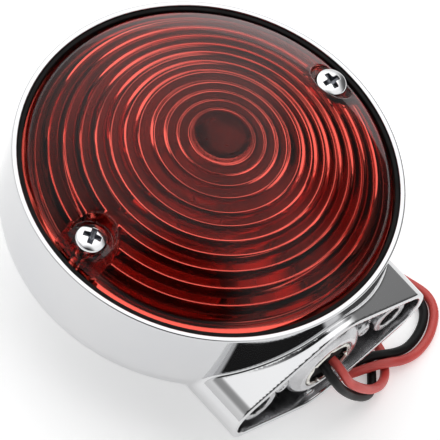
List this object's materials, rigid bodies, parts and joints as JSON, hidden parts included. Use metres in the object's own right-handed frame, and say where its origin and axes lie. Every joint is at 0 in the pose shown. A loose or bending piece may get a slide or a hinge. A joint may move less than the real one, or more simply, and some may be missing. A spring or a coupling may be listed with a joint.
{
  "type": "tail light",
  "caption": "Round motorcycle tail light: chrome housing with a hollow two-screw pedestal foot, red domed lens held by screws, twin-filament bayonet bulb and leads.",
  "frame": {"origin": "on the lens axis, on the flat of the housing's back", "axes": "+Z along the lens axis out through the lens, +X along the line of the two lens screws, the foot's rim faces -Y"},
  "size_m": [0.1057, 0.0974, 0.0539],
  "materials": {
    "chrome_casting": "polished chrome plate on a die casting, cast texture inside",
    "red_lens": "clear red moulded plastic, polished outside",
    "black_rubber": "matte",
    "chrome_screw": "bright plated",
    "plated_steel": "zinc plated",
    "brown_fibre": "phenolic board",
    "brass": "bright brass",
    "clear_glass": "clear",
    "black_glass": "vitrified black glass",
    "solder": "dull solder",
    "tungsten": "drawn wire",
    "red_insulation": "satin PVC",
    "black_insulation": "satin PVC",
    "nylon": "natural nylon"
  },
  "bodies": {
    "housing": {"housing": "chrome_casting", "lens_gasket": "black_rubber", "socket_shell": "plated_steel", "socket_ring": "plated_steel", "socket_grommet": "black_rubber", "socket_spring": "plated_steel", "inner_leads": "red_insulation", "red_wire": "red_insulation", "black_wire": "black_insulation", "lead_coil": "red_insulation", "red_terminal": "brass", "black_terminal": "brass", "cable_tie": "nylon"},
    "lens": {"lens": "red_lens"},
    "lens_screw_left": {"lens_screw_left": "chrome_screw"},
    "lens_screw_right": {"lens_screw_right": "chrome_screw"},
    "contact_carrier": {"contact_carrier": "brown_fibre", "contact_plungers": "brass"},
    "bulb": {"bulb_glass": "clear_glass", "bulb_cap": "brass", "bulb_pins": "brass", "bulb_insulator": "black_glass", "bulb_contacts": "solder", "bulb_stem": "clear_glass", "bulb_filaments": "tungsten"}
  },
  "joints": [
    {"name": "lens_lift", "type": "slide", "parent": "housing", "child": "lens", "axis": [0, 0, 1], "range_m": [0, 0.045]},
    {"name": "lens_screw_left_turn", "type": "hinge", "parent": "lens", "child": "lens_screw_left", "pos_m": [-0.0344, 0, 0.0422], "axis": [0, 0, 1], "continuous": true},
    {"name": "lens_screw_right_turn", "type": "hinge", "parent": "lens", "child": "lens_screw_right", "pos_m": [0.0344, 0, 0.0422], "axis": [0, 0, 1], "continuous": true},
    {"name": "bulb_push", "type": "slide", "parent": "housing", "child": "contact_carrier", "axis": [0, -1, 0], "range_m": [0, 0.002], "stiffness_N_per_m": 2000, "springref_m": -0.003, "deforming": ["socket_spring", "inner_leads"]},
    {"name": "bulb_turn", "type": "hinge", "parent": "contact_carrier", "child": "bulb", "pos_m": [0, -0.025, 0.0202], "axis": [0, -1, 0], "range_deg": [0, 20]}
  ]
}
